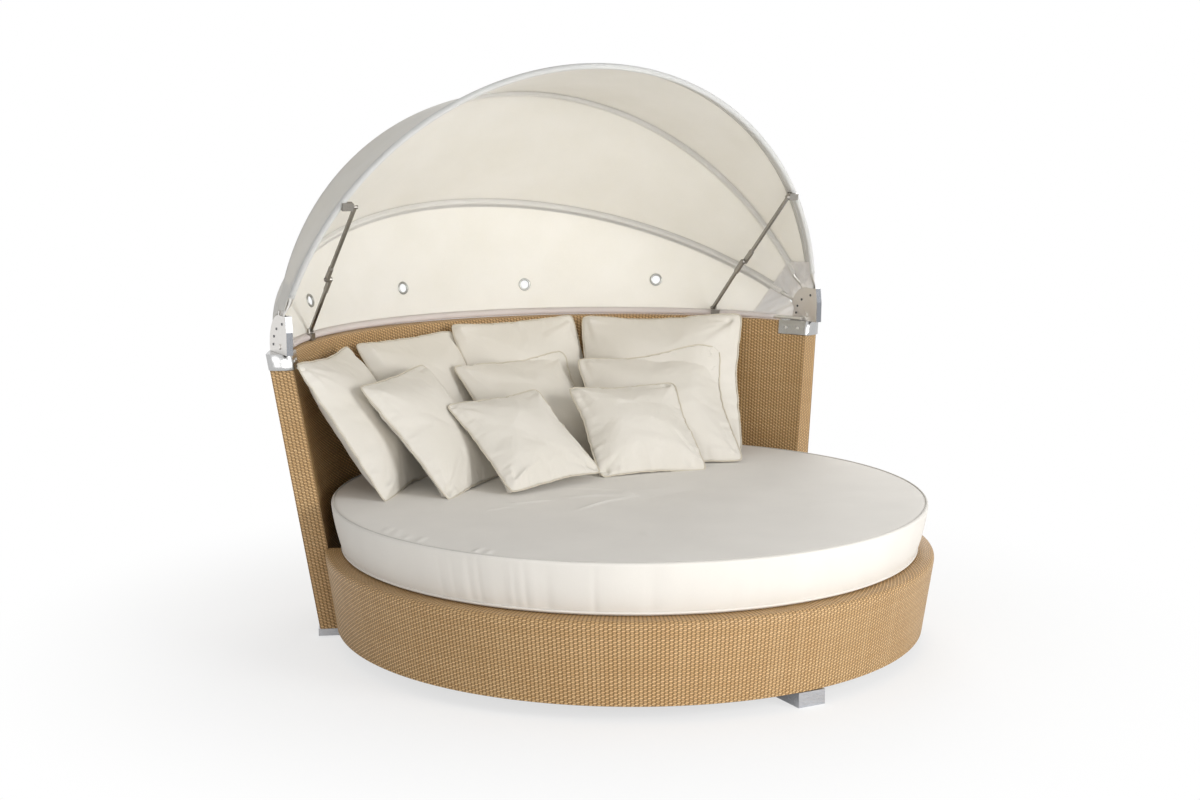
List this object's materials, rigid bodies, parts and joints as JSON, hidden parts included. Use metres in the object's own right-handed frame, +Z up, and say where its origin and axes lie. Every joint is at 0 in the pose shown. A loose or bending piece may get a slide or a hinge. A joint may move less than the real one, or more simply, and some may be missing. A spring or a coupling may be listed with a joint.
{
  "type": "outdoor daybed with canopy",
  "caption": "Round woven outdoor daybed with a curved back wall, a round mattress, loose pillows and a fabric canopy on folding bows.",
  "frame": {"origin": "middle of the footprint box, on the ground", "axes": "+Z up, the open front faces -Y, +X to the right of someone who stands before the front and looks at it"},
  "size_m": [2.0036, 2.0878, 1.7309],
  "materials": {
    "weave": "satin",
    "hidden_frame": "satin",
    "deck_board": "matte",
    "foot_aluminium": "satin",
    "wall_foot_aluminium": "satin",
    "glide_plastic": "matte",
    "mattress_cover": "matte",
    "pillow_cover": "matte",
    "bow_aluminium": "satin",
    "hinge_steel": "satin",
    "stay_steel": "satin",
    "screw_steel": "satin",
    "canopy_cloth": "matte",
    "eyelet_metal": "satin"
  },
  "bodies": {
    "bed": {"base_skirt": "weave", "back_wall": "weave", "base_frame": "hidden_frame", "wall_frame": "hidden_frame", "deck_panel": "deck_board", "front_foot": "foot_aluminium", "rear_foot": "foot_aluminium", "wall_foot_left": "wall_foot_aluminium", "wall_foot_rear": "wall_foot_aluminium", "wall_foot_right": "wall_foot_aluminium", "glide_left": "glide_plastic", "glide_rear": "glide_plastic", "glide_right": "glide_plastic", "mattress": "mattress_cover", "pillow_back_left_end": "pillow_cover", "pillow_back_left": "pillow_cover", "pillow_back_right": "pillow_cover", "pillow_back_right_end": "pillow_cover", "pillow_middle_left": "pillow_cover", "pillow_middle": "pillow_cover", "pillow_middle_right": "pillow_cover", "pillow_front_left": "pillow_cover", "pillow_front_right": "pillow_cover", "canopy_rail": "bow_aluminium", "hinge_clamp_left": "hinge_steel", "hinge_clamp_right": "hinge_steel", "hinge_plate_inner_left": "hinge_steel", "hinge_plate_inner_right": "hinge_steel", "hinge_plate_outer_left": "hinge_steel", "hinge_plate_outer_right": "hinge_steel", "hinge_pin_left": "hinge_steel", "hinge_pin_right": "hinge_steel", "stay_bracket_left": "hinge_steel", "stay_bracket_right": "hinge_steel", "clamp_screw_left_1": "screw_steel", "clamp_screw_left_2": "screw_steel", "clamp_screw_right_1": "screw_steel", "clamp_screw_right_2": "screw_steel", "canopy_rear": "canopy_cloth", "eyelet_1": "eyelet_metal", "eyelet_2": "eyelet_metal", "eyelet_3": "eyelet_metal", "eyelet_4": "eyelet_metal"},
    "rear_bow": {"bow_rear": "bow_aluminium", "canopy_middle": "canopy_cloth"},
    "middle_bow": {"bow_middle": "bow_aluminium", "canopy_front": "canopy_cloth"},
    "front_bow": {"bow_front": "bow_aluminium", "stay_clip_left": "hinge_steel", "stay_clip_right": "hinge_steel"},
    "stay_upper_left_link": {"stay_upper_left": "stay_steel"},
    "stay_upper_right_link": {"stay_upper_right": "stay_steel"},
    "stay_lower_left_link": {"stay_lower_left": "stay_steel"},
    "stay_lower_right_link": {"stay_lower_right": "stay_steel"}
  },
  "joints": [
    {"name": "rear_bow_fold", "type": "hinge", "parent": "bed", "child": "rear_bow", "pos_m": [0, 0.30519, 0.89], "axis": [-1, 0, 0], "range_deg": [0, 20.1], "deforming": ["canopy_rear"]},
    {"name": "middle_bow_fold", "type": "hinge", "parent": "rear_bow", "child": "middle_bow", "pos_m": [0, 0.30519, 0.89], "axis": [-1, 0, 0], "range_deg": [0, 32.4], "deforming": ["canopy_middle"]},
    {"name": "front_bow_fold", "type": "hinge", "parent": "middle_bow", "child": "front_bow", "pos_m": [0, 0.30519, 0.89], "axis": [-1, 0, 0], "range_deg": [0, 31.8], "deforming": ["canopy_front"]},
    {"name": "stay_left_lower_turn", "type": "hinge", "parent": "bed", "child": "stay_lower_left_link", "pos_m": [-0.75613, 0.61759, 0.896], "axis": [1, 0, 0], "range_deg": [0, 24.79]},
    {"name": "stay_left_upper_turn", "type": "hinge", "parent": "front_bow", "child": "stay_upper_left_link", "pos_m": [-0.76613, 0.16929, 1.30605], "axis": [-1, 0, 0], "range_deg": [0, 38.88]},
    {"name": "stay_right_lower_turn", "type": "hinge", "parent": "bed", "child": "stay_lower_right_link", "pos_m": [0.75613, 0.61759, 0.896], "axis": [1, 0, 0], "range_deg": [0, 24.79]},
    {"name": "stay_right_upper_turn", "type": "hinge", "parent": "front_bow", "child": "stay_upper_right_link", "pos_m": [0.76613, 0.16929, 1.30605], "axis": [-1, 0, 0], "range_deg": [0, 38.88]}
  ],
  "couplings": [
    {"joint": "middle_bow_fold", "follows": "rear_bow_fold", "ratio": 1.6119},
    {"joint": "front_bow_fold", "follows": "rear_bow_fold", "ratio": 1.5821},
    {"joint": "stay_left_lower_turn", "follows": "rear_bow_fold", "ratio": 1.2335},
    {"joint": "stay_left_upper_turn", "follows": "rear_bow_fold", "ratio": 1.9345},
    {"joint": "stay_right_lower_turn", "follows": "rear_bow_fold", "ratio": 1.2335},
    {"joint": "stay_right_upper_turn", "follows": "rear_bow_fold", "ratio": 1.9345}
  ]
}
